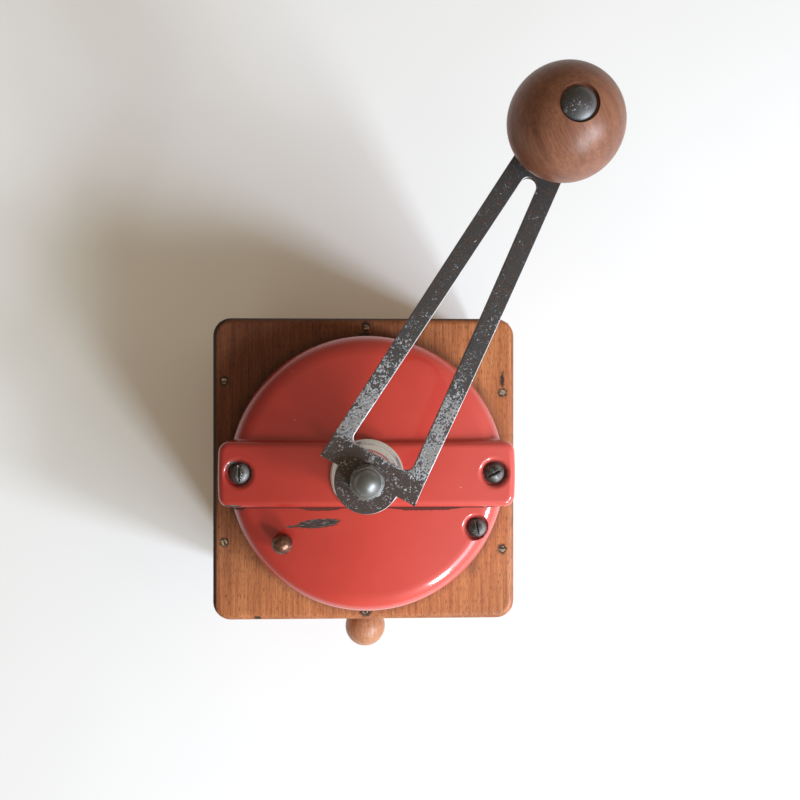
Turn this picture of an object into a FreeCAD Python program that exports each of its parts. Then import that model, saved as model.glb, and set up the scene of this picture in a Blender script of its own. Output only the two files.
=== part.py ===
import FreeCAD, Part
import math
import os

# Hand crank coffee grinder, millimetres. Z is up, the origin is on the spindle's axis at the
# table, the drawer faces -Y and the crank points to the back right.

# Wooden box
CASE_X, CASE_Y = -1.45, 0.75
BOARD, BOARD_THICK, BOARD_CORNER, BOARD_ROUND = 131.2, 10.0, 7.8, 3.0
BODY, WALL = 129.0, 9.0
BODY_LOW, BODY_HIGH = 10.0, 102.0
BOARD_TOP = BODY_HIGH + BOARD_THICK
FINGERS = 9
NAIL_HEAD, NAIL_LONG = 0.7, 20.0
GAP = 0.5

# Drawer
DRAWER_WIDTH, DRAWER_HIGH, DRAWER_LIP = 95.0, 45.5, 3.0
DRAWER_FRONT_THICK, DRAWER_SIDE, DRAWER_FLOOR = 12.0, 6.0, 3.0
DRAWER_BACK_Y, DRAWER_SIDE_HIGH, DRAWER_FLOOR_Z = 50.0, 42.0, 13.0
KNOB_Z, KNOB_BALL, KNOB_REACH, KNOB_WAIST = 28.0, 10.4, 21.7, -50.0

# Pressed steel dome, its raised band and the hatch
SHEET = 1.2
DOME_TOP, DOME_RADIUS, DOME_EDGE, DRAFT, CROWN = 134.2, 57.7, 9.0, 1.5, 2.5
BEAD_RADIUS, BEAD_HEIGHT = 58.1, 1.1
BAND_TOP, BAND_FRONT, BAND_BACK = 137.0, -13.1, 14.0
BAND_HALF, BAND_BULGE, BAND_CORNER, BAND_EDGE, BAND_ROOT = 60.2, 0.6, 4.6, 3.0, 1.4
BAND_LIP = 2.1
BAND_SCREW_X, BAND_SCREW_Y, BAND_DIMPLE = 52.0, 0.8, 2.4
DIMPLE_FLOOR, DIMPLE_ROUND, DIMPLE_LEAN = 4.7, 2.3, 0.2
HATCH_CLEAR, HATCH_REAR, HATCH_TONGUE, TONGUE_HALF = 0.4, -13.4, -9.5, 50.0
PIVOT_X, PIVOT_Y, PIVOT_FLOOR, PIVOT_LEVEL = 45.4, -22.2, 130.2, 133.4
HATCH_KNOB_X, HATCH_KNOB_Y, HATCH_KNOB_BALL = -34.3, -27.3, 4.25
HATCH_KNOB_LOW = DOME_TOP - 0.95
RUN = 0.06

# Mill
SHAFT = 5.0
HOPPER_HOLE, HOPPER_FLANGE, HOPPER_SHEET = 41.0, 45.5, 0.8
RING_TOP, RING_LOW, RING_OUTER, RING_TEETH, CONE_TEETH = 84.0, 62.0, 23.0, 18, 12
ARM_HALF, FOOT_PITCH, FOOT_THICK, FOOT_TURNS = 4.5, 49.0, 4.0, (45, 135, 225, 315)
BRIDGE_LOW, BRIDGE_HIGH, BRIDGE_HALF, BRIDGE_WIDTH = 51.0, 55.0, 32.0, 14.0
BRIDGE_SCREW_X = 26.0
WHEEL_LOW, WHEEL_HIGH, WHEEL_RADIUS, WHEEL_FLUTES = 46.6, 50.9, 17.0, 16
YOKE_LOW, YOKE_HIGH, YOKE_HALF, YOKE_WIDTH = 57.2, 60.4, 24.0, 8.0
STEM = 4.0
SPINDLE_LOW = 61.05
COLLAR_LOW, COLLAR_HIGH, COLLAR_RADIUS = 108.0, 112.0, 9.0
SPRING_MEAN, SPRING_WIRE, SPRING_TURNS = 7.4, 0.65, 5
BUSH_LOW, BUSH_RADIUS, BUSH_FLANGE = 133.0, 7.2, 9.0
BELL_TOP = 157.2

# Crank, measured along (t) and across (s) the arm
CRANK_ANGLE = 61.6
PLATE_LOW, PLATE_THICK = 161.0, 3.0
HUB_RADIUS = 12.4
BAR_REAR, BAR_FRONT, BAR_HALF, BAR_CORNER = 0.3, 10.5, 20.3, 0.5
ARM_TIP, TIP_RADIUS = 141.2, 9.0
SLOT_END, SLOT_RADIUS, SLOT_HALF, SLOT_CORNER = 123.0, 3.1, 12.9, 3.0
BEND_T, RISE_END_T, RISE_START, RISE_END = 9.0, 152.0, 14.5, -3.5
SQUARE = 7.0
BALL_RADIUS, PIN_RADIUS, CAP_RADIUS = 20.0, 3.5, 5.9
WASHER_THICK, BALL_LOW = 1.0, 1.15
BALL_CENTRE = BALL_LOW + 19.2
CAP_SEAT = BALL_CENTRE + 17.3
THREAD, NUT_CORNER, NUT_HIGH, NUT_DOME = 3.4, 6.93, 6.0, 5.2

# Reach of the plain boxes that only cut a shape in half
WIDE = 80

Z_AXIS = FreeCAD.Vector(0, 0, 1)
ORIGIN = FreeCAD.Vector(0, 0, 0)


def vec(x, y, z):
    return FreeCAD.Vector(x, y, z)


def box(x0, x1, y0, y1, z0, z1):
    return Part.makeBox(x1 - x0, y1 - y0, z1 - z0, vec(x0, y0, z0))


def rod(x, y, z0, z1, radius):
    return Part.makeCylinder(radius, z1 - z0, vec(x, y, z0))


def cone(x, y, z0, z1, low, high):
    return Part.makeCone(low, high, z1 - z0, vec(x, y, z0))


def tube(x, y, z0, z1, outer, inner):
    return rod(x, y, z0, z1, outer).cut(rod(x, y, z0 - 1, z1 + 1, inner))


def joined(shapes):
    first, *rest = shapes
    if not rest:
        return first
    return first.fuse(rest).removeSplitter()


def revolved(points):
    """A solid turned about Z from (radius, height) points."""
    corners = [vec(r, 0, z) for r, z in points]
    face = Part.Face(Part.makePolygon(corners + corners[:1]))
    return face.revolve(ORIGIN, Z_AXIS, 360)


def turned(edges):
    return Part.Face(Part.Wire(edges)).revolve(ORIGIN, Z_AXIS, 360)


def line(a, b):
    return Part.LineSegment(a, b).toShape()


def arc(a, middle, b):
    return Part.Arc(a, middle, b).toShape()


def save(name, solids):
    """Writes one STEP file from separate solids."""
    parts = [s for shape in solids for s in shape.Solids]
    shape = parts[0] if len(parts) == 1 else Part.Compound(parts)
    shape.exportStep("parts/" + name + ".step")
    return shape


def round_screw(x, y, seat, tip, radius, head, height, turn):
    """A round-head slotted screw whose head sits on the level seat."""
    bulge = (head**2 + height**2) / (2 * height)
    ball = Part.makeSphere(bulge, vec(x, y, seat + height - bulge))
    cap = ball.common(rod(x, y, seat, seat + height + 1, head))
    slot = box(-head, head, -head * 0.11, head * 0.11, seat + height * 0.55, seat + height + 1)
    slot.rotate(ORIGIN, Z_AXIS, turn)
    slot.translate(vec(x, y, 0))
    shank = rod(x, y, tip + radius, seat, radius)
    point = cone(x, y, tip, tip + radius, radius * 0.3, radius)
    return joined([cap.cut(slot), shank, point])


def flipped(shape, level):
    """The same shape upside down about a level."""
    copy = shape.copy()
    copy.rotate(vec(0, 0, level), vec(1, 0, 0), 180)
    return copy


# ---- wooden box ----

def board(z0, high_round, low_round):
    half = BOARD / 2
    solid = box(CASE_X - half, CASE_X + half, CASE_Y - half, CASE_Y + half, z0, z0 + BOARD_THICK)
    upright = [e for e in solid.Edges if abs(e.BoundBox.ZLength - BOARD_THICK) < 0.01]
    solid = solid.makeFillet(BOARD_CORNER, upright)
    top = [e for e in solid.Edges if e.BoundBox.ZMin > z0 + BOARD_THICK - 0.01]
    solid = solid.makeFillet(high_round, top)
    bottom = [e for e in solid.Edges if e.BoundBox.ZMax < z0 + 0.01]
    return solid.makeFillet(low_round, bottom)


def finger_cells(parity):
    """The corner blocks that one of two joined walls gives up."""
    half, pitch = BODY / 2, (BODY_HIGH - BODY_LOW) / FINGERS
    cells = []
    for i in range(parity, FINGERS, 2):
        low = BODY_LOW + i * pitch
        for x in (CASE_X - half, CASE_X + half - WALL):
            for y in (CASE_Y - half, CASE_Y + half - WALL):
                cells.append(box(x, x + WALL, y, y + WALL, low, low + pitch))
    return cells


def walls():
    half = BODY / 2
    left, right = CASE_X - half, CASE_X + half
    front, back = CASE_Y - half, CASE_Y + half
    across, along = finger_cells(0), finger_cells(1)
    mouth = DRAWER_WIDTH / 2 + GAP
    notch = box(CASE_X - mouth, CASE_X + mouth, front - 1, front + WALL + 1,
                BODY_LOW - 1, DRAWER_HIGH + GAP)
    return {
        "left_side": box(left, left + WALL, front, back, BODY_LOW, BODY_HIGH).cut(across),
        "right_side": box(right - WALL, right, front, back, BODY_LOW, BODY_HIGH).cut(across),
        "front_panel": box(left, right, front, front + WALL, BODY_LOW, BODY_HIGH).cut(along + [notch]),
        "back_panel": box(left, right, back - WALL, back, BODY_LOW, BODY_HIGH).cut(along),
    }


def nail(x, y):
    """A flat-headed nail driven flush with the top board."""
    seat = BOARD_TOP - NAIL_HEAD
    return joined([rod(x, y, seat, BOARD_TOP, 1.35), rod(x, y, BOARD_TOP - NAIL_LONG, seat, 0.8)])


def top_nails():
    places = [(-61.9, 38.8), (-61.9, -30.9), (58.8, 33.9), (58.8, -34.4), (-0.6, 62.2), (-1.0, -60.9)]
    return [nail(x, y) for x, y in places]


def countersunk(x, y, face, tip, radius, head):
    """A countersunk slotted wood screw driven up from below a face."""
    top = cone(x, y, face, face + head - radius, head, radius)
    slot = box(x - head, x + head, y - 0.45, y + 0.45, face - 1, face + 0.9)
    return joined([top.cut(slot), rod(x, y, face + head - radius, tip, radius)])


def base_screw_places():
    reach = BODY / 2 - WALL / 2
    return [(CASE_X + sx * reach, CASE_Y + sy * 35) for sx in (-1, 1) for sy in (-1, 1)]


def base_screws():
    return [countersunk(x, y, 0.3, 30, 1.6, 3.4) for x, y in base_screw_places()]


def wooden_box():
    nails, screws = top_nails(), base_screws()
    hole = rod(0, 0, BODY_HIGH - 1, BOARD_TOP + 1, HOPPER_HOLE)
    rebate = rod(0, 0, BOARD_TOP - HOPPER_SHEET, BOARD_TOP + 1, HOPPER_FLANGE + 0.2)
    relief = [rod(x, y, -1, 1.3, 3.4) for x, y in base_screw_places()]
    fixings = mill_screws() + band_screws() + [pivot_screw()] + hopper_screws()
    top = board(BODY_HIGH, BOARD_ROUND, 1.5).cut([hole, rebate] + nails + fixings)
    base = board(0, 2.0, 1.5).cut(screws + relief)
    save("top_board", [top])
    save("base_board", [base])
    for name, wall in walls().items():
        save(name, [wall.cut(nails + screws)])
    save("top_nails", nails)
    save("base_screws", screws)
    inner = BODY / 2 - WALL
    guides = []
    for side in (-1, 1):
        near, far = CASE_X + side * (DRAWER_WIDTH / 2 + GAP), CASE_X + side * inner
        guides.append(box(min(near, far), max(near, far), CASE_Y - inner, CASE_Y + inner, 10, 18))
    save("drawer_guides", guides)


# ---- drawer ----

def drawer_knob():
    """A foot, a waist and a ball, turned in one piece."""
    start = math.radians(KNOB_WAIST)
    join = vec(KNOB_BALL * math.cos(start), 0, KNOB_REACH + KNOB_BALL * math.sin(start))
    foot = [vec(0, 0, 0), vec(8.0, 0, 0), vec(8.4, 0, 1.4), vec(7.4, 0, 2.8)]
    waist = Part.BSplineCurve()
    waist.interpolate([foot[-1], vec(5.6, 0, 4.6), vec(4.9, 0, 8.0), vec(5.3, 0, 11.2), join])
    middle = (start + math.pi / 2) / 2
    swell = vec(KNOB_BALL * math.cos(middle), 0, KNOB_REACH + KNOB_BALL * math.sin(middle))
    tip = vec(0, 0, KNOB_REACH + KNOB_BALL)
    edges = [line(a, b) for a, b in zip(foot, foot[1:])]
    knob = turned(edges + [waist.toShape(), arc(join, swell, tip), line(tip, foot[0])])
    knob.rotate(ORIGIN, vec(1, 0, 0), 90)
    knob.translate(vec(CASE_X, CASE_Y - BODY / 2 - DRAWER_LIP, KNOB_Z))
    return knob


def knob_screw():
    screw = round_screw(0, 0, 0, -26, 1.8, 3.8, 2.2, 20)
    screw.rotate(ORIGIN, vec(1, 0, 0), -90)
    inside = CASE_Y - BODY / 2 - DRAWER_LIP + DRAWER_FRONT_THICK
    screw.translate(vec(CASE_X, inside, KNOB_Z))
    return screw


def drawer():
    half, low = DRAWER_WIDTH / 2, BODY_LOW + GAP
    front = CASE_Y - BODY / 2 - DRAWER_LIP
    inside = front + DRAWER_FRONT_THICK
    screw = knob_screw()
    floor_half = half - DRAWER_SIDE / 2
    floor = box(CASE_X - floor_half, CASE_X + floor_half, inside - 5, DRAWER_BACK_Y - DRAWER_SIDE / 2,
                DRAWER_FLOOR_Z, DRAWER_FLOOR_Z + DRAWER_FLOOR)
    panel = box(CASE_X - half, CASE_X + half, front, inside, low, DRAWER_HIGH)
    rim = [e for e in panel.Edges if e.BoundBox.YMax < front + 0.01]
    panel = panel.makeFillet(1.5, rim)
    sides = []
    for side in (-1, 1):
        outer, inner = CASE_X + side * half, CASE_X + side * (half - DRAWER_SIDE)
        sides.append(box(min(outer, inner), max(outer, inner), inside, DRAWER_BACK_Y,
                         low, DRAWER_SIDE_HIGH))
    rear_half = half - DRAWER_SIDE
    rear = box(CASE_X - rear_half, CASE_X + rear_half, DRAWER_BACK_Y - DRAWER_SIDE, DRAWER_BACK_Y,
               low, DRAWER_SIDE_HIGH)
    save("drawer_front", [panel.cut([floor, screw])])
    save("drawer_sides", [side.cut(floor) for side in sides])
    save("drawer_back", [rear.cut(floor)])
    save("drawer_floor", [floor])
    save("drawer_knob", [drawer_knob().cut(screw)])
    save("drawer_knob_screw", [screw])


# ---- dome and hatch ----

def dome_solid(inset):
    """The dome's outer form, or its inside when inset by the sheet."""
    radius, low = DOME_EDGE - inset, BOARD_TOP - (1 if inset else 0)
    slope, crown, half = (math.radians(a) for a in (DRAFT, 90 - CROWN, (90 - CROWN + DRAFT) / 2))
    centre_x = DOME_RADIUS - DOME_EDGE
    big = (centre_x + DOME_EDGE * math.cos(crown)) / math.cos(crown)
    centre_z = DOME_TOP - big + (big - DOME_EDGE) * math.sin(crown)

    def on_edge(angle):
        return vec(centre_x + radius * math.cos(angle), 0, centre_z + radius * math.sin(angle))

    side, edge, rim = on_edge(slope), on_edge(half), on_edge(crown)
    foot = vec(side.x + (side.z - low) * math.tan(slope), 0, low)
    top = vec(0, 0, DOME_TOP - inset)
    wide = (crown + math.pi / 2) / 2
    shoulder = vec((big - inset) * math.cos(wide), 0, DOME_TOP - big + (big - inset) * math.sin(wide))
    base = vec(0, 0, low)
    return turned([line(base, foot), line(foot, side), arc(side, edge, rim), arc(rim, shoulder, top),
                   line(top, base)])


def dome_bead():
    """The rolled foot of the dome's wall."""
    bead = tube(0, 0, BOARD_TOP, BOARD_TOP + BEAD_HEIGHT, BEAD_RADIUS, DOME_RADIUS - 1)
    rim = [e for e in bead.Edges if abs(e.BoundBox.ZMin - BOARD_TOP - BEAD_HEIGHT) < 0.01
           and e.BoundBox.XMax > BEAD_RADIUS - 0.5]
    return bead.makeFillet(0.6, rim)


def band_solid(inset):
    """The bar across the dome: bulging ends, rounded corners and a rolled upper edge."""
    half, corner, edge = BAND_HALF - inset, BAND_CORNER - inset, BAND_EDGE - inset
    front, back, high = BAND_FRONT + inset, BAND_BACK - inset, BAND_TOP - inset
    low, middle = BOARD_TOP - (1 if inset else 0), (front + back) / 2
    a, b, c, d = (vec(x, y, low) for x, y in ((-half, front), (half, front), (half, back), (-half, back)))
    right, left = (vec(side * (half + BAND_BULGE), middle, low) for side in (1, -1))
    plan = Part.Face(Part.Wire([line(a, b), arc(b, right, c), line(c, d), arc(d, left, a)]))
    block = plan.extrude(vec(0, 0, high - low))
    block = block.makeFillet(corner, [e for e in block.Edges if e.BoundBox.ZLength > 20])
    return block.makeFillet(edge, [e for e in block.Edges if e.BoundBox.ZMin > high - 0.01])


def band_on_dome():
    """The fixed half of the dome and its band, with a hollow curve where they meet."""
    half = dome_solid(0).common(box(-WIDE, WIDE, 0, WIDE, BOARD_TOP - 5, BAND_TOP + 5))
    body = half.fuse(band_solid(0)).removeSplitter()
    root = [e for e in body.Edges if abs(e.BoundBox.YMin - BAND_BACK) < 0.01
            and abs(e.BoundBox.YMax - BAND_BACK) < 0.01 and e.BoundBox.ZMax > BOARD_TOP + 1]
    return body.makeFillet(BAND_ROOT, root)


def dimple(x, y, level, floor, inset):
    """A pressed hollow with a flared rim: inset grows it into its own underside."""
    low, radius = DIMPLE_FLOOR + inset, DIMPLE_ROUND - inset
    rim_x, rim_z = DIMPLE_FLOOR + DIMPLE_ROUND + DIMPLE_LEAN, level - DIMPLE_ROUND
    bulge = radius * math.sqrt(0.5)
    centre, wall = vec(0, 0, floor - inset), vec(rim_x - radius, 0, rim_z)
    flare, rim = vec(rim_x - bulge, 0, rim_z + bulge), vec(rim_x, 0, rim_z + radius)
    edge, top = vec(rim_x, 0, level + 4), vec(0, 0, level + 4)
    corner = vec(low, 0, floor - inset)
    tool = turned([line(centre, corner), line(corner, wall), arc(wall, flare, rim), line(rim, edge),
                   line(edge, top), line(top, centre)])
    tool.translate(vec(x, y, 0))
    return tool


def band_places():
    return [(-BAND_SCREW_X, BAND_SCREW_Y), (BAND_SCREW_X, BAND_SCREW_Y)]


def dome_shell():
    outer = band_on_dome()
    bead = dome_bead().common(box(-WIDE, WIDE, BAND_BACK - 1, WIDE, BOARD_TOP, BAND_TOP))
    mouth = box(-DOME_RADIUS, DOME_RADIUS, BAND_FRONT - 5, BAND_FRONT + SHEET + 0.1, BOARD_TOP - 5,
                BAND_TOP - BAND_LIP)
    half = dome_solid(SHEET).common(box(-WIDE, WIDE, 0, WIDE, BOARD_TOP - 5, BAND_TOP + 5))
    inner = joined([half, band_solid(SHEET), mouth])
    seat = BAND_TOP - BAND_DIMPLE
    holes = [rod(0, 0, BUSH_LOW, BAND_TOP + 5, BUSH_RADIUS)]
    for x, y in band_places():
        outer = outer.cut(dimple(x, y, BAND_TOP, seat, 0))
        inner = inner.cut(dimple(x, y, BAND_TOP, seat, SHEET))
        holes.append(rod(x, y, seat - 5, seat + 5, 2.1))
    return joined([outer, bead]).cut(inner).cut(holes)


def band_screws():
    seat = BAND_TOP - BAND_DIMPLE
    return [round_screw(x, y, seat, BODY_HIGH + 1.5, 2.0, 4.3, 2.9, turn)
            for (x, y), turn in zip(band_places(), (88, 26))]


def band_sleeves():
    top = BAND_TOP - BAND_DIMPLE - SHEET
    return [tube(x, y, BOARD_TOP, top, 3.6, 2.1) for x, y in band_places()]


def hatch():
    front = box(-WIDE, WIDE, -WIDE, HATCH_REAR, BOARD_TOP + HATCH_CLEAR, BAND_TOP)
    tongue = box(-TONGUE_HALF, TONGUE_HALF, HATCH_REAR - 1, HATCH_TONGUE, DOME_TOP - 5, BAND_TOP)
    inner = dome_solid(SHEET).cut(dimple(PIVOT_X, PIVOT_Y, PIVOT_LEVEL, PIVOT_FLOOR, SHEET))
    outer = dome_solid(0).cut(dimple(PIVOT_X, PIVOT_Y, PIVOT_LEVEL, PIVOT_FLOOR, 0))
    skirt = joined([outer.common(front), dome_bead().common(front)])
    leaf = joined([skirt, outer.common(tongue)]).cut(inner)
    pin = rod(PIVOT_X, PIVOT_Y, BOARD_TOP, BAND_TOP, 2.0 + RUN)
    return leaf.cut([pin, hatch_knob()])


def pivot_screw():
    return round_screw(PIVOT_X, PIVOT_Y, PIVOT_FLOOR + 0.05, BODY_HIGH + 1.5, 2.0, 4.0, 2.8, 98)


def pivot_post():
    return tube(PIVOT_X, PIVOT_Y, BOARD_TOP, PIVOT_FLOOR - SHEET - 0.05, 3.5, 2.0)


def hatch_knob():
    x, y, low = HATCH_KNOB_X, HATCH_KNOB_Y, HATCH_KNOB_LOW
    centre = low + HATCH_KNOB_BALL + 1.3
    foot = cone(x, y, low, low + 1.2, 3.1, 2.3)
    neck = rod(x, y, low, centre, 2.0)
    tail = rod(x, y, low - SHEET, low, 1.6)
    rivet = rod(x, y, low - SHEET - 0.9, low - SHEET, 2.8)
    return joined([Part.makeSphere(HATCH_KNOB_BALL, vec(x, y, centre)), foot, neck, tail, rivet])


def bearing_bell():
    outline = [(14.9, BAND_TOP), (14.9, 138.3), (14.3, 138.9), (13.1, 139.1), (12.9, 140.3), (12.4, 140.8),
               (11.0, 141.0), (10.7, 142.6), (10.2, 143.6), (9.2, 148.0), (8.2, 153.0), (7.8, 156.5),
               (7.2, BELL_TOP), (SHAFT + RUN, BELL_TOP), (SHAFT + RUN, 150.0), (7.2, 147.5), (8.6, 141.5),
               (9.4, 139.0), (12.4, 138.0), (12.8, BAND_TOP)]
    return revolved(outline)


def top_bush():
    flange = BAND_TOP - SHEET
    return revolved([(SHAFT + RUN, BUSH_LOW), (BUSH_FLANGE, BUSH_LOW), (BUSH_FLANGE, flange),
                     (BUSH_RADIUS, flange), (BUSH_RADIUS, BAND_TOP), (SHAFT + RUN, BAND_TOP)])


def metal_top():
    save("dome_shell", [dome_shell()])
    save("band_screws", band_screws())
    save("band_sleeves", band_sleeves())
    save("hatch", [hatch()])
    save("hatch_pivot_screw", [pivot_screw()])
    save("hatch_pivot_post", [pivot_post()])
    save("hatch_knob", [hatch_knob()])
    save("bearing_bell", [bearing_bell()])
    save("top_bush", [top_bush()])


# ---- mill ----

def hopper_places():
    turns = (math.radians(a) for a in (90, 210, 330))
    return [(43.2 * math.cos(a), 43.2 * math.sin(a)) for a in turns]


def hopper_screws():
    pins = []
    for x, y in hopper_places():
        head = cone(x, y, BOARD_TOP - HOPPER_SHEET, BOARD_TOP, 1.2, 2.0)
        pins.append(joined([head, rod(x, y, BOARD_TOP - 8, BOARD_TOP - HOPPER_SHEET, 1.0)]))
    return pins


def hopper_bowl():
    top, skin = BOARD_TOP, HOPPER_SHEET
    bowl = revolved([(HOPPER_FLANGE, top - skin), (40.8, top - skin), (40.8, 103.0), (18.3, 86.5),
                     (18.3, RING_TOP), (17.5, RING_TOP), (17.5, 87.0), (40.0, 103.5), (40.0, top),
                     (HOPPER_FLANGE, top)])
    return bowl.cut(hopper_screws())


def foot_places():
    return [(FOOT_PITCH * math.cos(math.radians(a)), FOOT_PITCH * math.sin(math.radians(a)))
            for a in FOOT_TURNS]


def mill_screws():
    head = BODY_HIGH - FOOT_THICK
    screws = []
    for x, y in foot_places():
        screw = round_screw(0, 0, head, head - 11, 1.9, 3.7, 2.4, 15)
        screw = flipped(screw, head)
        screw.translate(vec(x, y, 0))
        screws.append(screw)
    return screws


def mill_body():
    ring = revolved([(RING_OUTER, RING_LOW), (17.2, RING_LOW), (14.2, 75.0), (14.2, 77.0),
                     (17.4, RING_TOP), (RING_OUTER, RING_TOP)])
    side = [(20, 65), (20, 80), (41.5, 95), (41.5, BODY_HIGH), (53, BODY_HIGH),
            (53, BODY_HIGH - FOOT_THICK), (46.5, BODY_HIGH - FOOT_THICK), (24, 65)]
    corners = [vec(r, -ARM_HALF, z) for r, z in side]
    arm = Part.Face(Part.makePolygon(corners + corners[:1])).extrude(vec(0, 2 * ARM_HALF, 0))
    parts = [ring]
    for turn in FOOT_TURNS:
        copy = arm.copy()
        copy.rotate(ORIGIN, Z_AXIS, turn)
        parts.append(copy)
    for side in (-1, 1):
        a, b = sorted((side * 19.5, side * BRIDGE_HALF))
        parts.append(box(a, b, -6, 6, BRIDGE_HIGH, 68).cut(rod(0, 0, 50, 70, 19)))
    body = joined(parts)
    teeth = []
    for i in range(RING_TEETH):
        tooth = box(-0.8, 0.8, -0.8, 0.8, 0, 30)
        tooth.rotate(ORIGIN, Z_AXIS, 45)
        tooth.rotate(ORIGIN, vec(0, 1, 0), -13)
        tooth.translate(vec(17.4, 0, 60))
        tooth.rotate(ORIGIN, Z_AXIS, (i + 0.5) * 360 / RING_TEETH)
        teeth.append(tooth.common(rod(0, 0, RING_LOW - 1, 76, 20)))
    reach, half = YOKE_HALF + 0.3, YOKE_WIDTH / 2 + RUN
    groove = box(-reach, reach, -half, half, BRIDGE_HIGH - 1, RING_LOW + 0.5)
    return body.cut(teeth + mill_screws() + bridge_screws() + [groove])


def bridge_screws():
    screws = []
    for x in (-BRIDGE_SCREW_X, BRIDGE_SCREW_X):
        screw = round_screw(0, 0, BRIDGE_LOW, BRIDGE_LOW - 12, 2.0, 3.8, 2.4, 70)
        screw = flipped(screw, BRIDGE_LOW)
        screw.translate(vec(x, 0, 0))
        screws.append(screw)
    return screws


def bridge():
    half = BRIDGE_WIDTH / 2
    plate = box(-BRIDGE_HALF, BRIDGE_HALF, -half, half, BRIDGE_LOW, BRIDGE_HIGH)
    ends = [e for e in plate.Edges if e.BoundBox.ZLength > 3]
    plate = joined([plate.makeFillet(4, ends), rod(0, 0, BRIDGE_LOW, BRIDGE_HIGH, 11)])
    return plate.cut(bridge_screws() + [rod(0, 0, 50, 60, 7 + RUN)])


def adjusting_wheel():
    disc = rod(0, 0, WHEEL_LOW, WHEEL_HIGH, WHEEL_RADIUS)
    flutes = []
    for i in range(WHEEL_FLUTES):
        a = 2 * math.pi * i / WHEEL_FLUTES
        flutes.append(rod(WHEEL_RADIUS * math.cos(a), WHEEL_RADIUS * math.sin(a), 40, 60, 1.9))
    wheel = joined([disc.cut(flutes), rod(0, 0, WHEEL_LOW, BRIDGE_HIGH + 0.1, 7)])
    return wheel.cut(rod(0, 0, 40, 60, STEM + RUN))


def wheel_ring():
    return tube(0, 0, BRIDGE_HIGH + 0.1, BRIDGE_HIGH + 0.9, 9, STEM + 1)


def thrust_yoke():
    half = YOKE_WIDTH / 2
    bar = box(-YOKE_HALF, YOKE_HALF, -half, half, YOKE_LOW, YOKE_HIGH)
    stem = rod(0, 0, 47.8, YOKE_HIGH, STEM)
    return joined([bar, stem, rod(0, 0, YOKE_HIGH, SPINDLE_LOW - 0.05, 6)])


def burr_cone():
    body = revolved([(SHAFT, RING_LOW), (16.3, RING_LOW), (12.6, 75.0), (7.5, RING_TOP), (6.6, 86.0),
                     (SHAFT, 86.0)])
    cuts = []
    for i in range(CONE_TEETH):
        cut = box(-1.1, 1.1, -1.1, 1.1, -4, 32)
        cut.rotate(ORIGIN, Z_AXIS, 45)
        cut.rotate(ORIGIN, vec(1, 0, 0), 22)
        cut.rotate(ORIGIN, vec(0, 1, 0), -20)
        cut.translate(vec(17.0, 0, RING_LOW))
        cut.rotate(ORIGIN, Z_AXIS, i * 360 / CONE_TEETH)
        cuts.append(cut)
    return body.cut(cuts + [cone_pin()])


def cone_pin():
    return Part.makeCylinder(1.5, 17, vec(-8.5, 0, 80), vec(1, 0, 0))


def spring_collar():
    return tube(0, 0, COLLAR_LOW, COLLAR_HIGH, COLLAR_RADIUS, SHAFT)


def thrust_spring():
    mean, wire = SPRING_MEAN, SPRING_WIRE
    low, high = COLLAR_HIGH + wire + 0.05, BUSH_LOW - wire - 0.05
    helix = Part.makeHelix((high - low) / SPRING_TURNS, high - low, mean)
    corners = [vec(mean + a * wire, 0, b * wire) for a, b in ((-1, -1), (1, -1), (1, 1), (-1, 1))]
    section = Part.makePolygon(corners + corners[:1])
    spring = Part.Wire([helix]).makePipeShell([section], True, True)
    spring.translate(vec(0, 0, low))
    return spring


def spindle():
    plate = PLATE_LOW + PLATE_THICK
    shaft = rod(0, 0, SPINDLE_LOW, PLATE_LOW, SHAFT)
    half = SQUARE / 2
    thread = rod(0, 0, PLATE_LOW, plate + 7, THREAD)
    square = box(-half, half, -half, half, PLATE_LOW, plate)
    square.rotate(ORIGIN, Z_AXIS, CRANK_ANGLE)
    return joined([shaft, square, thread]).cut(cone_pin())


def mill():
    save("hopper_bowl", [hopper_bowl()])
    save("hopper_screws", hopper_screws())
    save("mill_body", [mill_body()])
    save("mill_screws", mill_screws())
    save("bridge", [bridge()])
    save("bridge_screws", bridge_screws())
    save("adjusting_wheel", [adjusting_wheel().cut(wheel_ring())])
    save("wheel_ring", [wheel_ring()])
    save("thrust_yoke", [thrust_yoke()])
    save("burr_cone", [burr_cone()])
    save("cone_pin", [cone_pin()])
    save("spring_collar", [spring_collar()])
    save("thrust_spring", [thrust_spring()])
    save("spindle", [spindle()])


# ---- crank ----

def crank_rise():
    """The end points and the middle of the arm's underside, a shallow arch."""
    run = RISE_END_T - BEND_T
    chord = math.radians((RISE_START + RISE_END) / 2)
    half = math.radians((RISE_START - RISE_END) / 2)
    reach = run / math.cos(chord)
    sag = reach / 2 * math.tan(half / 2)
    start = vec(BEND_T, 0, PLATE_LOW)
    end = vec(RISE_END_T, 0, PLATE_LOW + run * math.tan(chord))
    middle = (start + end) * 0.5 + vec(-math.sin(chord), 0, math.cos(chord)) * sag
    return start, middle, end


def crank_strip():
    start, middle, end = crank_rise()
    up, back = vec(0, 0, PLATE_THICK), vec(-HUB_RADIUS - 2, 0, PLATE_LOW)
    edges = [line(back, start), arc(start, middle, end), line(end, end + up),
             arc(end + up, middle + up, start + up), line(start + up, back + up), line(back + up, back)]
    strip = Part.Face(Part.Wire(edges)).extrude(vec(0, 60, 0))
    strip.translate(vec(0, -30, 0))
    return strip


def plan_prism(points):
    corners = [vec(t, s, PLATE_LOW - 5) for t, s in points]
    return Part.Face(Part.makePolygon(corners + corners[:1])).extrude(vec(0, 0, 40))


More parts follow.
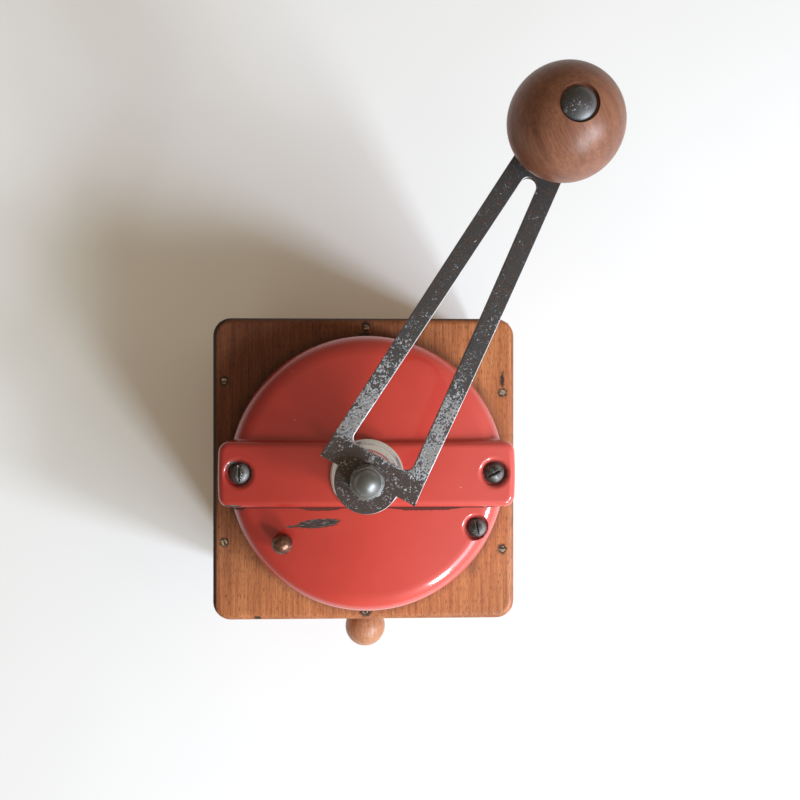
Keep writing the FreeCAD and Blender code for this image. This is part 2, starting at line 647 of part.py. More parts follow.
def crank_plan():
    tip = ARM_TIP
    legs = plan_prism([(BAR_REAR, -BAR_HALF), (tip, -TIP_RADIUS), (tip, TIP_RADIUS), (BAR_REAR, BAR_HALF)])
    low = PLATE_LOW - 5
    corners = [e for e in legs.Edges if e.BoundBox.ZLength > 30 and e.BoundBox.XMax < 5]
    legs = legs.makeFillet(BAR_CORNER, corners)
    hub, end = rod(0, 0, low, low + 40, HUB_RADIUS), rod(tip, 0, low, low + 40, TIP_RADIUS)
    slot = plan_prism([(BAR_FRONT, -SLOT_HALF), (SLOT_END, -SLOT_RADIUS), (SLOT_END, SLOT_RADIUS),
                       (BAR_FRONT, SLOT_HALF)])
    inner = [e for e in slot.Edges if e.BoundBox.ZLength > 30 and e.BoundBox.XMax < BAR_FRONT + 1]
    slot = slot.makeFillet(SLOT_CORNER, inner)
    slot = slot.fuse(rod(SLOT_END, 0, low, low + 40, SLOT_RADIUS))
    return legs.fuse([hub, end]).cut(slot)


def pin_frame(shape):
    """Moves a shape made about Z from its own zero onto the arm's tip, square to the arm."""
    start, middle, end = crank_rise()
    circle = arc(start, middle, end).Curve
    drop = math.sqrt(circle.Radius**2 - (ARM_TIP - circle.Center.x) ** 2)
    top = circle.Center.z + drop + PLATE_THICK
    tilt = math.degrees(math.asin((ARM_TIP - circle.Center.x) / circle.Radius))
    shape.rotate(ORIGIN, vec(0, 1, 0), tilt)
    shape.translate(vec(ARM_TIP, 0, top))
    shape.rotate(ORIGIN, Z_AXIS, CRANK_ANGLE)
    return shape


def crank_arm():
    arm = crank_strip().common(crank_plan())
    half = SQUARE / 2
    arm = arm.cut(box(-half, half, -half, half, PLATE_LOW - 1, PLATE_LOW + PLATE_THICK + 1))
    arm.rotate(ORIGIN, Z_AXIS, CRANK_ANGLE)
    return arm.cut(pin_frame(rod(0, 0, -10, 10, PIN_RADIUS)))


def ball_pin():
    dome = Part.makeSphere(8.2, vec(0, 0, CAP_SEAT + 2.9 - 8.2))
    cap = dome.common(rod(0, 0, CAP_SEAT, CAP_SEAT + 5, CAP_RADIUS))
    shaft = rod(0, 0, -PLATE_THICK, CAP_SEAT, PIN_RADIUS)
    under = cone(0, 0, -PLATE_THICK - 1.8, -PLATE_THICK - 0.1, 4.0, 5.6)
    collar = rod(0, 0, -PLATE_THICK - 0.2, -PLATE_THICK + 0.1, PIN_RADIUS)
    return joined([cap, shaft, under, collar])


def ball_knob():
    ball = Part.makeSphere(BALL_RADIUS, vec(0, 0, BALL_CENTRE))
    ball = ball.cut(rod(0, 0, -5, BALL_LOW, BALL_RADIUS))
    bore = rod(0, 0, -5, 50, PIN_RADIUS + RUN)
    seat = rod(0, 0, CAP_SEAT - 0.1, 50, CAP_RADIUS + 0.7)
    return ball.cut([bore, seat])


def acorn_nut():
    low = PLATE_LOW + PLATE_THICK + WASHER_THICK
    top = low + NUT_HIGH
    turns = [math.radians(a) for a in range(17, 377, 60)]
    corners = [vec(NUT_CORNER * math.cos(a), NUT_CORNER * math.sin(a), low) for a in turns]
    hexagon = Part.Face(Part.makePolygon(corners + corners[:1])).extrude(vec(0, 0, NUT_HIGH))
    bevel = cone(0, 0, low, top, 10.5, 6.1)
    cap = Part.makeSphere(NUT_DOME, vec(0, 0, top)).common(rod(0, 0, top, top + NUT_DOME + 1, NUT_DOME + 1))
    hollow = rod(0, 0, low - 1, top + 0.1, THREAD)
    return joined([hexagon.common(bevel), cap]).cut(hollow)


def crank():
    save("crank_arm", [crank_arm()])
    low = PLATE_LOW + PLATE_THICK
    save("crank_washer", [tube(0, 0, low, low + WASHER_THICK, 6.6, THREAD)])
    save("acorn_nut", [acorn_nut()])
    save("ball_washer", [pin_frame(tube(0, 0, 0, WASHER_THICK, 6.5, PIN_RADIUS))])
    save("ball_pin", [pin_frame(ball_pin())])
    save("ball_knob", [pin_frame(ball_knob())])


def main():
    os.makedirs("parts", exist_ok=True)
    wooden_box()
    drawer()
    metal_top()
    mill()
    crank()


main()
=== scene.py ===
import math

import bpy
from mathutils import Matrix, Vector


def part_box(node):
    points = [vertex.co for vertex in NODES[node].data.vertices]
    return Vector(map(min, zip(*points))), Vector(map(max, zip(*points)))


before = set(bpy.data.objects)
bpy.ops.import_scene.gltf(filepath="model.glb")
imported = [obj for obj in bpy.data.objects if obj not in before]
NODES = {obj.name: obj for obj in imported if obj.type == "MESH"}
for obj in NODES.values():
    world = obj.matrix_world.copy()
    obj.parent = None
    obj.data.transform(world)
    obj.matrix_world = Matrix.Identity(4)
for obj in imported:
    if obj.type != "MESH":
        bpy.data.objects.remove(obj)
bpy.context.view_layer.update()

MM = 0.001


def middle(low, high):
    """The middle of a box, in millimetres."""
    return [(a + b) / 2 / MM for a, b in zip(low, high)]


# Landmarks in millimetres, read from the frame
BALL = middle(*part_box("ball_knob"))
CRANK_TURN = math.atan2(BALL[1], BALL[0])
PIVOT_SCREW = middle(*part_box("hatch_pivot_screw"))
HATCH_KNOB = middle(*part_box("hatch_knob"))
board_low, board_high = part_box("top_board")
BOARD_MID = middle(board_low, board_high)
BOARD_HALF = (board_high[0] - board_low[0]) / 2 / MM
dome_low, dome_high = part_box("dome_shell")
DOME_RADIUS = dome_high[1] / MM
BAND_FRONT = dome_low[1] / MM

# Dirt on the board round its nails and along its edges: middle x and y, half width and half depth
NAIL_STAINS = (
    (-61.9, 38.9, 1.9, 2.3), (-61.9, -30.9, 2.0, 2.0), (58.8, 39.4, 0.9, 3.4),
    (58.8, 33.9, 1.9, 2.1), (58.8, -34.4, 2.0, 2.2), (-0.6, 62.6, 1.9, 2.6),
    (-1.0, 58.9, 3.2, 1.2), (-1.0, -61.3, 2.8, 2.1), (-47.5, -63.6, 1.6, 0.9))
SMUDGE = ((46.0, -41.0), (2.6, 4.4), 0, 0.4, 0.5, 0.6)

# Chips in the enamel: middle, half sizes, turn in degrees, raggedness, its fineness, softness of the edge
HATCH_CHIPS = (
    ((-20.0, -19.8), (8.6, 1.75), 5, 0.22, 0.8, 0.30),
    ((-29.0, -20.9), (3.6, 0.40), 8, 0.20, 0.9, 0.5),
    ((-32.0, -21.1), (0.9, 0.50), 0, 0.2, 1.0, 0.4))
DOME_CHIPS = (
    ((-55.0, 4.4), (2.2, 1.1), 40, 0.35, 0.9, 0.4),
    ((-54.5, -12.4), (4.0, 0.5), 0, 0.35, 0.9, 0.4))

# Dirt round the screws and the hatch's small knob: middle x and y, and radius
BAND_DIRT = ((-52.0, 1.2, 5.0), (52.2, 1.0, 5.0))
HATCH_DIRT = ((*PIVOT_SCREW[:2], 4.6), (*HATCH_KNOB[:2], 3.4))

# Where the hatch's straight edge is worn through: middle x, half length and depth
GAP_RUBS = ((-19, 12, 1.3), (24, 20, 1.3), (-53.5, 5, 1.3))
GAP_DEPTH = 0.32
GAP_BEHIND_BAND = 0.3

# Woods: pale, middle and dark tone
BEECH = ((0.52, 0.205, 0.080), (0.39, 0.130, 0.045), (0.23, 0.062, 0.021))
PALE_BEECH = ((0.55, 0.27, 0.155), (0.45, 0.205, 0.108), (0.32, 0.12, 0.060))
BALL_WOOD = ((0.27, 0.112, 0.060), (0.175, 0.067, 0.037), (0.085, 0.032, 0.019))
# The tint of the painted shade on the board, and the colour of its grime, which also carries painted
# shade
PAINTED_SHADE_TINT = (0.17, 0.11, 0.09)
WOOD_GRIME_AND_SHADE = (0.014, 0.009, 0.007)

# Enamel, and the iron under it
RED_LOW, RED_HIGH = (0.46, 0.034, 0.023), (0.54, 0.047, 0.032)
# Painted shade and painted light: a deep red towards the left and a pale red towards the right
SHADE_PAINTED_RED = (0.20, 0.007, 0.005)
LIGHT_PAINTED_RED = (0.66, 0.125, 0.110)
SPECK = (0.62, 0.50, 0.44)
ENAMEL_GRIME = (0.016, 0.008, 0.007)
CHIP_RIM = (0.16, 0.030, 0.020)
BARE_IRON = ((0.014, 0.011, 0.010), (0.060, 0.042, 0.036), (0.20, 0.15, 0.13))

# Steels
DARK_STEEL = (0.045, 0.042, 0.040)
CRANK_STEEL = (0.050, 0.048, 0.049)
CAP_STEEL = (0.055, 0.054, 0.055)
SCREW_STEEL = (0.040, 0.038, 0.036)
PLAIN_STEEL = (0.12, 0.12, 0.12)
POLISHED = (0.36, 0.365, 0.38)
POLISHED_SCREW = (0.26, 0.25, 0.24)
# A painted highlight on the worn edges, brightest where they face the light
EDGE_WEAR_AND_HIGHLIGHT = (0.62, 0.62, 0.62)
RUST_DARK, RUST_PALE = (0.010, 0.007, 0.006), (0.16, 0.096, 0.076)

# Light and camera, in metres, degrees and watts
COOL, COOLEST, WARM = (0.77, 0.86, 1.0), (0.82, 0.95, 1.0), (1.0, 0.83, 0.61)
PANEL_REACH = 1.5
PANEL_AIM = Vector((0, 0, 0.1))
EYE = (1.1 * MM, 30.7 * MM, 497 * MM)
EYE_TIP = -1.94
LENS, SENSOR = 39.85, 36
TABLE_HALF = 3.0


def scaled(colour, level):
    return tuple(c * level for c in colour)


class Graph:
    """A material's node tree, with short calls for the nodes that the recipes use."""

    def __init__(self, name):
        self.material = bpy.data.materials.new(name)
        self.material.use_nodes = True
        self.tree = self.material.node_tree
        self.shader = self.tree.nodes["Principled BSDF"]
        coords = self.tree.nodes.new("ShaderNodeTexCoord")
        self.place = self.vector("MULTIPLY", coords.outputs["Object"], (1 / MM, 1 / MM, 1 / MM))
        self.normal = coords.outputs["Normal"]

    def put(self, socket, value):
        if isinstance(value, bpy.types.NodeSocket):
            self.tree.links.new(value, socket)
        else:
            socket.default_value = value

    def set(self, **values):
        """Sets the surface shader's own sockets."""
        for name, value in values.items():
            if name == "Base_Color" and not isinstance(value, bpy.types.NodeSocket):
                value = (*value, 1)
            self.put(self.shader.inputs[name.replace("_", " ")], value)

    def maths(self, operation, a, b=0.0, clamp=False):
        node = self.tree.nodes.new("ShaderNodeMath")
        node.operation = operation
        node.use_clamp = clamp
        self.put(node.inputs[0], a)
        self.put(node.inputs[1], b)
        return node.outputs[0]

    def plus(self, a, b):
        return self.maths("ADD", a, b)

    def minus(self, a, b):
        return self.maths("SUBTRACT", a, b)

    def times(self, a, b):
        return self.maths("MULTIPLY", a, b)

    def sway(self, noise, weight):
        """A noise brought to lie about zero, then weighted."""
        return self.times(self.minus(noise, 0.5), weight)

    def most(self, *masks):
        result = masks[0]
        for mask in masks[1:]:
            result = self.maths("MAXIMUM", result, mask)
        return result

    def vector(self, operation, a, b):
        node = self.tree.nodes.new("ShaderNodeVectorMath")
        node.operation = operation
        self.put(node.inputs[0], a)
        self.put(node.inputs[1], b)
        return node.outputs["Value" if operation in ("LENGTH", "DISTANCE", "DOT_PRODUCT") else "Vector"]

    def part(self, where, axis):
        node = self.tree.nodes.new("ShaderNodeSeparateXYZ")
        self.put(node.inputs[0], where)
        return node.outputs[axis]

    def mapped(self, size=(1, 1, 1), turn=(0, 0, 0), origin=(0, 0, 0)):
        """The place as seen from an origin in millimetres, in turned axes, in units of size."""
        node = self.tree.nodes.new("ShaderNodeMapping")
        node.vector_type = "TEXTURE"
        self.put(node.inputs["Vector"], self.place)
        node.inputs["Location"].default_value = origin
        node.inputs["Rotation"].default_value = turn
        node.inputs["Scale"].default_value = size
        return node.outputs[0]

    def noise(self, where, scale, detail=3.0, rough=0.55, distort=0.0):
        node = self.tree.nodes.new("ShaderNodeTexNoise")
        self.put(node.inputs["Vector"], where)
        node.inputs["Scale"].default_value = scale
        node.inputs["Detail"].default_value = detail
        node.inputs["Roughness"].default_value = rough
        node.inputs["Distortion"].default_value = distort
        return node.outputs["Fac"]

    def spots(self, where, scale):
        node = self.tree.nodes.new("ShaderNodeTexVoronoi")
        self.put(node.inputs["Vector"], where)
        node.inputs["Scale"].default_value = scale
        return node.outputs["Distance"]

    def step(self, value, low, high, out_low=0.0, out_high=1.0):
        """A smooth step from out_low to out_high as the value goes from low to high."""
        node = self.tree.nodes.new("ShaderNodeMapRange")
        node.interpolation_type = "SMOOTHSTEP"
        self.put(node.inputs["Value"], value)
        node.inputs["From Min"].default_value = low
        node.inputs["From Max"].default_value = high
        node.inputs["To Min"].default_value = out_low
        node.inputs["To Max"].default_value = out_high
        return node.outputs["Result"]

    def ramp(self, value, *stops):
        node = self.tree.nodes.new("ShaderNodeValToRGB")
        self.put(node.inputs["Fac"], value)
        elements = node.color_ramp.elements
        while len(elements) < len(stops):
            elements.new(0.5)
        for element, (at, colour) in zip(elements, stops):
            element.position = at
            element.color = (*colour, 1)
        return node.outputs["Color"]

    def mix(self, share, a, b, blend="MIX"):
        node = self.tree.nodes.new("ShaderNodeMix")
        node.data_type = "RGBA"
        node.blend_type = blend
        self.put(node.inputs[0], share)
        for socket, value in ((node.inputs[6], a), (node.inputs[7], b)):
            self.put(socket, value if isinstance(value, bpy.types.NodeSocket) else (*value, 1))
        return node.outputs[2]

    def bump(self, height, distance, strength=1.0):
        """Relief of a depth in millimetres."""
        node = self.tree.nodes.new("ShaderNodeBump")
        node.inputs["Strength"].default_value = strength
        node.inputs["Distance"].default_value = distance * MM
        self.put(node.inputs["Height"], height)
        self.put(self.shader.inputs["Normal"], node.outputs["Normal"])

    def blob(self, centre, half, turn=0.0, ragged=0.35, scale=0.6, edge=0.25):
        """1 inside a ragged ellipse that runs through all heights, 0 outside."""
        all_heights = 1e6
        inside = self.mapped((*half, all_heights), (0, 0, math.radians(turn)), (*centre, 0))
        reach = self.vector("LENGTH", inside, (0, 0, 0))
        wobble = self.sway(self.noise(self.place, scale, 4), ragged * 4)
        return self.step(self.plus(reach, wobble), 1 + edge, 1 - edge)


def grain_turn(axis):
    """The turn that brings the Y axis of the grain onto the piece's own grain axis."""
    return {"Y": (0, 0, 0), "X": (0, 0, math.pi / 2), "Z": (math.pi / 2, 0, 0)}[axis]


def wood(name, pale, mid, dark, axis="Y", fleck=1.0, gloss=0.42, turn=None, seed=0.0, shade_and_grime=None):
    """Beech: soft clouds and streaks, fine fibres and short ray flecks along the grain."""
    g = Graph(name)
    turn = turn or grain_turn(axis)
    origin = (seed * 37, seed * 91, seed * 53)

    def grain(across, along, detail, rough=0.55):
        """Noise with so many features to the millimetre across the grain and along it."""
        return g.noise(g.mapped((1 / across, 1 / along, 1 / across), turn, origin), 1.0, detail, rough)

    cloud = grain(0.060, 0.018, 3)
    streak = grain(0.42, 0.016, 3)
    fibre = grain(3.4, 0.18, 4, 0.6)
    vein = grain(1.3, 0.03, 2)
    rays = g.step(grain(2.5, 0.36, 1.5, 0.4), 0.575, 0.665)
    pores = g.step(grain(5.2, 0.8, 1, 0.4), 0.60, 0.72)
    tone = g.plus(g.times(cloud, 0.50), g.times(streak, 0.44))
    tone = g.plus(tone, g.sway(vein, 0.75 * fleck))
    tone = g.plus(tone, g.sway(fibre, 0.36))
    marks = g.most(g.times(rays, 0.58 * fleck), g.times(pores, 0.34 * fleck))
    colour = g.ramp(tone, (0.22, dark), (0.46, mid), (0.72, pale))
    colour = g.mix(marks, colour, scaled(dark, 0.50))
    matt = g.step(fibre, 0.2, 0.8, gloss + 0.12, gloss - 0.05)
    if shade_and_grime:
        shade, grime = shade_and_grime(g)
        # Painted shade: the shade mask darkens the wood by a tint, and the grime mask holds real grime
        # together with painted shade
        colour = g.mix(shade, colour, PAINTED_SHADE_TINT, "MULTIPLY")
        colour = g.mix(grime, colour, WOOD_GRIME_AND_SHADE)
        matt = g.plus(matt, g.times(g.most(shade, grime), 0.3))
    g.set(Base_Color=colour, Roughness=matt, Specular_IOR_Level=0.36)
    g.bump(g.minus(g.times(fibre, 0.5), g.times(marks, 0.7)), 0.07, 0.6)
    return g.material


def board_grime_and_shade(g):
    """Painted shade darkening the board towards the left and the back, and grime on its edges and round
    the nails, with painted shade at the foot of the dome and on the edges turned away from the light.
    """
    x = g.minus(g.part(g.place, 0), BOARD_MID[0])
    y = g.minus(g.part(g.place, 1), BOARD_MID[1])
    far = g.maths("MAXIMUM", g.maths("ABSOLUTE", x), g.maths("ABSOLUTE", y))
    rough = g.sway(g.noise(g.place, 0.22, 4), 5.0)
    edge = g.step(g.plus(far, rough), BOARD_HALF - 3.0, BOARD_HALF + 2.0, 0.0, 0.50)
    # Grime and painted shade round the foot of the dome
    flat = g.vector("MULTIPLY", g.place, (1, 1, 0))
    reach = g.plus(g.vector("LENGTH", flat, (0, 0, 0)), g.times(rough, 0.6))
    dome_foot_grime_and_shade = g.step(reach, DOME_RADIUS + 5.9, DOME_RADIUS - 0.6, 0.0, 0.62)
    # Painted shade with some grime on the rounded edges turned away from the light, to the left and the
    # back
    lean = g.vector("DOT_PRODUCT", g.normal, (-0.80, 0.45, -0.12))
    upward = g.step(g.part(g.normal, 2), 0.02, 0.16, 0.3, 1.0)
    rim = g.times(g.step(lean, 0.08, 0.40, 0.0, 0.95), upward)
    # Painted shade, darker towards the left and the back
    leftward = g.plus(g.minus(g.times(y, 0.8), x), rough)
    shade = g.step(leftward, -14, 78, 0.0, 0.84)
    masks = [edge, dome_foot_grime_and_shade, rim, g.times(g.blob(*SMUDGE), 0.42)]
    for x0, y0, wide, tall in NAIL_STAINS:
        masks.append(g.times(g.blob((x0, y0), (wide, tall), 0, 0.30, 0.9, 0.35), 0.92))
    return shade, g.most(*masks)


def enamel(name, wear):
    """Glossy vitreous red with painted shade towards the left and painted light towards the right, worn
    through to dark iron where wear says, grimy round the screws.
    """
    g = Graph(name)
    fine = g.noise(g.place, 5.0, 3)
    chips, grime = wear(g)
    rim = g.step(chips, 0.04, 0.35)
    hole = g.step(chips, 0.35, 0.60)

    red = g.ramp(g.noise(g.place, 0.035, 3), (0.25, RED_LOW), (0.75, RED_HIGH))
    across = g.minus(g.part(g.place, 0), g.times(g.part(g.place, 1), 0.3))
    # Painted shade and painted light: the red darkens towards the left and back and pales towards the
    # right and front
    red = g.mix(g.step(across, 30, -58, 0.0, 0.72), red, SHADE_PAINTED_RED)
    red = g.mix(g.step(across, 0, 62, 0.0, 0.42), red, LIGHT_PAINTED_RED)
    specks = g.step(g.spots(g.mapped(turn=(0, 0, 0.4)), 0.13), 0.045, 0.020)
    red = g.mix(g.times(specks, 0.50), red, SPECK)
    red = g.mix(grime, red, ENAMEL_GRIME)
    red = g.mix(g.times(rim, 0.60), red, CHIP_RIM)
    scratch = g.noise(g.mapped((1 / 0.35, 1 / 3.0, 1), (0, 0, 0.05)), 1.0, 4)
    bare = g.ramp(scratch, *zip((0.36, 0.54, 0.70), BARE_IRON))

    haze = g.step(g.noise(g.place, 0.25, 4), 0.3, 0.8, 0.38, 0.44)
    matt = g.most(g.times(hole, 0.45), g.times(grime, 0.35))
    g.set(Base_Color=g.mix(hole, red, bare), Roughness=g.plus(haze, g.times(matt, 0.6)),
          Specular_IOR_Level=0.22, Coat_Roughness=0.10,
          Coat_Weight=g.maths("SUBTRACT", 0.85, g.most(hole, grime), True))
    peel = g.times(g.noise(g.place, 0.30, 2), 0.25)
    height = g.plus(g.minus(peel, hole), g.times(g.times(fine, hole), 0.5))
    g.bump(height, 0.12, 0.5)
    return g.material


def gap_wear(g):
    """Rubbed enamel along the hatch's straight edge, widest beside the hub."""
    x = g.part(g.place, 0)
    y = g.part(g.place, 1)
    ragged = g.sway(g.noise(g.place, 0.9, 4), 0.9)
    width = GAP_DEPTH
    for centre, half, deep in GAP_RUBS:
        rub = g.step(g.maths("ABSOLUTE", g.minus(x, centre)), half, half * 0.3, 0.0, deep)
        width = g.most(width, rub)
    limit = g.minus(BAND_FRONT - GAP_BEHIND_BAND, g.plus(width, g.times(ragged, width)))
    return g.step(g.minus(y, limit), -0.20, 0.20)


def screw_grime(g, places):
    """Dark grime caught in the hollows round the screws."""
    spots = [g.times(g.blob((x, y), (wide, wide), 0, 0.16, 0.8, 0.24), 0.88) for x, y, wide in places]
    return g.most(*spots)


def hatch_wear(g):
    """The hatch's long chip with its tail, and its dirty straight edge."""
    gap = gap_wear(g)
    chips = g.most(*[g.blob(*chip) for chip in HATCH_CHIPS], g.times(gap, 0.30))
    return chips, g.most(g.times(gap, 0.96), screw_grime(g, HATCH_DIRT))


def dome_wear(g):
    """Half worn spots at the band's left end."""
    chips = g.times(g.most(*[g.blob(*chip) for chip in DOME_CHIPS]), 0.75)
    return chips, screw_grime(g, BAND_DIRT)


def steel(name, dark=DARK_STEEL, brown=0.5, bright=0.0, polished=POLISHED, scale=1.0, polish=None,
          edge=0.8):
    """Old steel: a dark brown skin pitted through a worn bright face, bright worn edges, and a painted
    highlight on the edges that face the light to the right.
    """
    g = Graph(name)
    patch = g.noise(g.mapped(origin=(40, 0, 0)), 0.22 * scale, 3, 0.6)
    pits = g.noise(g.place, 1.15 * scale, 5, 0.72, 0.5)
    fine = g.noise(g.place, 4.5 * scale, 4, 0.7)
    rust = g.noise(g.place, 0.5 * scale, 4, 0.65)
    level, rusty = polish(g) if polish else (bright, 0.0)

    skin = g.ramp(fine, (0.28, scaled(dark, 0.35)), (0.52, dark), (0.80, scaled(dark, 3.2)))
    warm = g.ramp(fine, (0.40, RUST_DARK), (0.64, RUST_PALE))
    skin = g.mix(g.step(rust, 0.56 - brown * 0.2, 0.70 - brown * 0.2, 0.0, 0.75), skin, warm)
    skin = g.mix(rusty, skin, warm)
    worn = g.plus(g.times(patch, 0.45), g.times(pits, 1.35))
    face = g.step(g.plus(worn, level), 0.95, 1.00)

    upward = g.part(g.normal, 2)
    rounded = g.times(g.step(upward, 0.93, 0.75, 0.0, edge), g.step(upward, 0.02, 0.10))
    # Painted highlight: the worn rounded edges are painted bright, at full strength where they face the
    # light to the right and faint where they face left
    worn_edge_and_highlight = g.times(rounded, g.step(g.part(g.normal, 0), -0.1, 0.3, 0.15, 1.0))
    shine = g.most(face, worn_edge_and_highlight)
    metal = g.minus(g.plus(0.55, g.times(shine, 0.40)), g.times(worn_edge_and_highlight, 0.55))
    matt = g.plus(g.step(fine, 0.2, 0.8, 0.42, 0.60), g.times(shine, -0.16))
    colour = g.mix(worn_edge_and_highlight, g.mix(face, skin, polished), EDGE_WEAR_AND_HIGHLIGHT)
    g.set(Base_Color=colour, Metallic=metal, Roughness=matt)
    g.bump(g.plus(g.times(shine, 0.6), g.times(fine, 0.6)), 0.06, 0.7)
    return g.material


def crank_polish(g):
    """How bright the crank is worn and how rusty it is, by the distance along it."""
    along = g.part(g.mapped(turn=(0, 0, CRANK_TURN)), 0)
    near = g.step(along, 74, 16, -0.13, 0.09)
    hub = g.step(along, 12.0, 8.0)
    return g.plus(near, g.times(hub, -0.17)), g.times(hub, 0.5)


def bright_metal(name, colour, rough, tarnish):
    """A clean metal with a thin cloudy film."""
    g = Graph(name)
    fine = g.noise(g.place, 5.0, 3)
    dull = g.step(g.noise(g.place, 0.35, 5, 0.65), 0.42, 0.72, 0.0, tarnish)
    matt = g.plus(g.step(fine, 0.2, 0.8, rough - 0.06, rough + 0.08), g.times(dull, 0.25))
    g.set(Base_Color=g.mix(dull, colour, scaled(colour, 0.45)), Metallic=0.95, Roughness=matt)
    g.bump(fine, 0.02, 0.4)
    return g.material


def nail_iron(name):
    """Dark rusty nail heads, worn pale in places."""
    g = Graph(name)
    patch = g.noise(g.place, 0.9, 3, 0.6, 0.4)
    colour = g.ramp(patch, (0.47, (0.020, 0.014, 0.011)), (0.58, (0.36, 0.27, 0.17)))
    g.set(Base_Color=colour, Metallic=0.3, Roughness=0.55)
    g.bump(patch, 0.05, 0.6)
    return g.material


def cast_iron(name):
    """Sandy grey casting with rusty stains."""
    g = Graph(name)
    sand = g.noise(g.place, 1.6, 6, 0.7)
    stain = g.noise(g.place, 0.12, 4)
    colour = g.ramp(sand, (0.2, (0.035, 0.034, 0.034)), (0.8, (0.12, 0.115, 0.11)))
    colour = g.mix(g.step(stain, 0.5, 0.75, 0.0, 0.5), colour, (0.11, 0.055, 0.03))
    g.set(Base_Color=colour, Metallic=0.7, Roughness=g.step(sand, 0.2, 0.8, 0.5, 0.75))
    g.bump(sand, 0.25, 0.8)
    return g.material


def bronze(name):
    """Oxidised brass: brown skin with warm worn spots."""
    g = Graph(name)
    skin = g.noise(g.place, 0.45, 5, 0.65)
    fine = g.noise(g.place, 4.0, 3)
    tones = ((0.060, 0.028, 0.020), (0.17, 0.080, 0.055), (0.46, 0.26, 0.17))
    colour = g.ramp(skin, *zip((0.30, 0.55, 0.85), tones))
    g.set(Base_Color=colour, Metallic=0.85, Roughness=g.step(fine, 0.2, 0.8, 0.26, 0.44))
    g.bump(fine, 0.04, 0.5)
    return g.material


def smooth(obj, width, segments=2):
    """Even shading on a CAD node and, where a width in millimetres is given, small rounded edges."""
    for polygon in obj.data.polygons:
        polygon.use_smooth = True
    if width:
        weld = obj.modifiers.new("weld", "WELD")
        weld.merge_threshold = 0.002 * MM
        bevel = obj.modifiers.new("edge", "BEVEL")
        bevel.width = width * MM
        bevel.segments = segments
        bevel.limit_method = "ANGLE"
        bevel.angle_limit = math.radians(38)
        bevel.use_clamp_overlap = False
        even = obj.modifiers.new("normals", "WEIGHTED_NORMAL")
        even.keep_sharp = True


def dress(material, *names, width=0.0):
    for name in names:
        obj = NODES[name]
        obj.data.materials.clear()
        obj.data.materials.append(material)
        smooth(obj, width)


def dress_woods():
    dress(wood("board_wood", *BEECH, shade_and_grime=board_grime_and_shade), "top_board")
    dress(wood("base_wood", *BEECH, seed=1.3), "base_board", width=0.4)
    dress(wood("side_wood", *BEECH, seed=2.1), "left_side", "right_side", width=0.3)
    dress(wood("panel_wood", *BEECH, axis="X", seed=3.7), "front_panel", "back_panel", width=0.3)
    dress(wood("drawer_wood", *PALE_BEECH, axis="X", seed=4.4), "drawer_front", "drawer_back", width=0.3)
    dress(wood("drawer_side_wood", *PALE_BEECH, seed=5.2),
          "drawer_sides", "drawer_floor", "drawer_guides", width=0.3)
    dress(wood("drawer_knob_wood", *PALE_BEECH, seed=6.6, fleck=0.8, gloss=0.34), "drawer_knob")
    dress(wood("ball_wood", *BALL_WOOD, turn=(0.35, 0.25, 0.6), seed=7.9, fleck=0.45, gloss=0.36),
          "ball_knob")


def dress_metals():
    dress(enamel("dome_enamel", dome_wear), "dome_shell")
    dress(enamel("hatch_enamel", hatch_wear), "hatch")
    dress(steel("crank_steel", CRANK_STEEL, 0.40, polish=crank_polish), "crank_arm", width=0.36)
    dress(bright_metal("nut_steel", (0.21, 0.215, 0.21), 0.45, 0.5),
          "acorn_nut", "crank_washer", width=0.25)
    dress(steel("cap_steel", CAP_STEEL, 0.0, -0.10, scale=1.4, edge=0.2),
          "ball_pin", "ball_washer", width=0.2)
    dress(steel("screw_steel", SCREW_STEEL, 0.25, -0.04, POLISHED_SCREW, 2.0, edge=0.25),
          "band_screws", "hatch_pivot_screw", width=0.2)
    dress(nail_iron("nail_iron"), "top_nails")
    dress(steel("plain_steel", PLAIN_STEEL, 0.1, 0.10),
          "hopper_screws", "mill_screws", "bridge", "bridge_screws", "band_sleeves",
          "hatch_pivot_post", "base_screws", "drawer_knob_screw", "wheel_ring", "thrust_yoke",
          "spindle", "cone_pin", "spring_collar", "thrust_spring")
    dress(bright_metal("nickel", (0.80, 0.84, 0.93), 0.17, 0.2), "bearing_bell")
    dress(bright_metal("tin", (0.50, 0.50, 0.50), 0.36, 0.4), "hopper_bowl")
    dress(bright_metal("brass", (0.55, 0.38, 0.16), 0.34, 0.6), "top_bush", "adjusting_wheel")
    dress(cast_iron("iron"), "mill_body", "burr_cone")
    dress(bronze("knob_bronze"), "hatch_knob")


def floor():
    """A plain pale table."""
    mesh = bpy.data.meshes.new("table")
    corners = [(-TABLE_HALF, -TABLE_HALF, 0), (TABLE_HALF, -TABLE_HALF, 0),
               (TABLE_HALF, TABLE_HALF, 0), (-TABLE_HALF, TABLE_HALF, 0)]
    mesh.from_pydata(corners, [], [(0, 1, 2, 3)])
    table = bpy.data.objects.new("table", mesh)
    bpy.context.scene.collection.objects.link(table)
    g = Graph("table_white")
    clouds = g.ramp(g.noise(g.place, 0.01, 2), (0.3, (0.735, 0.735, 0.735)), (0.7, (0.755, 0.755, 0.755)))
    g.set(Base_Color=clouds, Roughness=0.6, Specular_IOR_Level=0.2)
    mesh.materials.append(g.material)


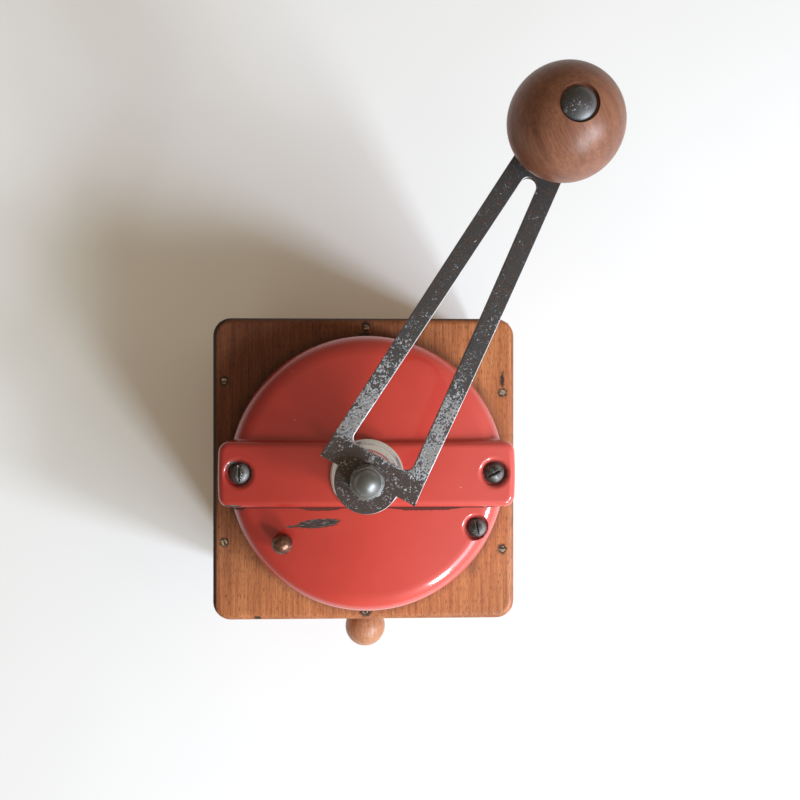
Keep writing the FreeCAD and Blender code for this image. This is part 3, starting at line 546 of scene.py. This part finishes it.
def panel(name, turn, rise, wide, tall, watts, colour):
    """A soft panel of light that faces the dome, at an azimuth and a height in degrees."""
    light = bpy.data.lights.new(name, "AREA")
    light.shape = "RECTANGLE"
    light.size = wide
    light.size_y = tall
    light.energy = watts
    light.color = colour
    turn = math.radians(turn)
    rise = math.radians(rise)
    towards = Vector((math.cos(turn) * math.cos(rise), math.sin(turn) * math.cos(rise), math.sin(rise)))
    lamp = bpy.data.objects.new(name, light)
    lamp.location = towards * PANEL_REACH + PANEL_AIM
    lamp.rotation_mode = "QUATERNION"
    lamp.rotation_quaternion = (-towards).to_track_quat("-Z", "Y")
    bpy.context.scene.collection.objects.link(lamp)


def room():
    """A warm dim room that is a little brighter to the right and to the front."""
    world = bpy.data.worlds.new("room")
    bpy.context.scene.world = world
    world.use_nodes = True
    nodes = world.node_tree.nodes
    links = world.node_tree.links
    towards = nodes.new("ShaderNodeTexCoord")
    side = nodes.new("ShaderNodeVectorMath")
    side.operation = "DOT_PRODUCT"
    side.inputs[1].default_value = (0.25, -0.10, 0.0)
    level = nodes.new("ShaderNodeMath")
    level.operation = "ADD"
    level.inputs[1].default_value = 0.50
    glow = nodes["Background"]
    glow.inputs["Color"].default_value = (*WARM, 1)
    links.new(towards.outputs["Generated"], side.inputs[0])
    links.new(side.outputs["Value"], level.inputs[0])
    links.new(level.outputs[0], glow.inputs["Strength"])


def lights():
    """A wide cool window to the front right, brightest at its two ends, in the warm room."""
    room()
    panel("window", -40, 38, 1.0, 0.50, 14, COOL)
    panel("window_right", -25, 36, 0.24, 0.45, 15, COOL)
    panel("window_left", -58, 32, 0.20, 0.50, 12, COOLEST)


def camera():
    """Straight above the box and a little behind its middle, tipped slightly to the right."""
    data = bpy.data.cameras.new("camera")
    data.sensor_width = SENSOR
    data.lens = LENS
    data.clip_start = 0.01
    data.clip_end = 20
    eye = bpy.data.objects.new("camera", data)
    eye.location = EYE
    eye.rotation_euler = (0, math.radians(EYE_TIP), 0)
    bpy.context.scene.collection.objects.link(eye)
    bpy.context.scene.camera = eye


def main():
    dress_woods()
    dress_metals()
    floor()
    lights()
    camera()
    bpy.context.scene.view_settings.view_transform = "Standard"


main()
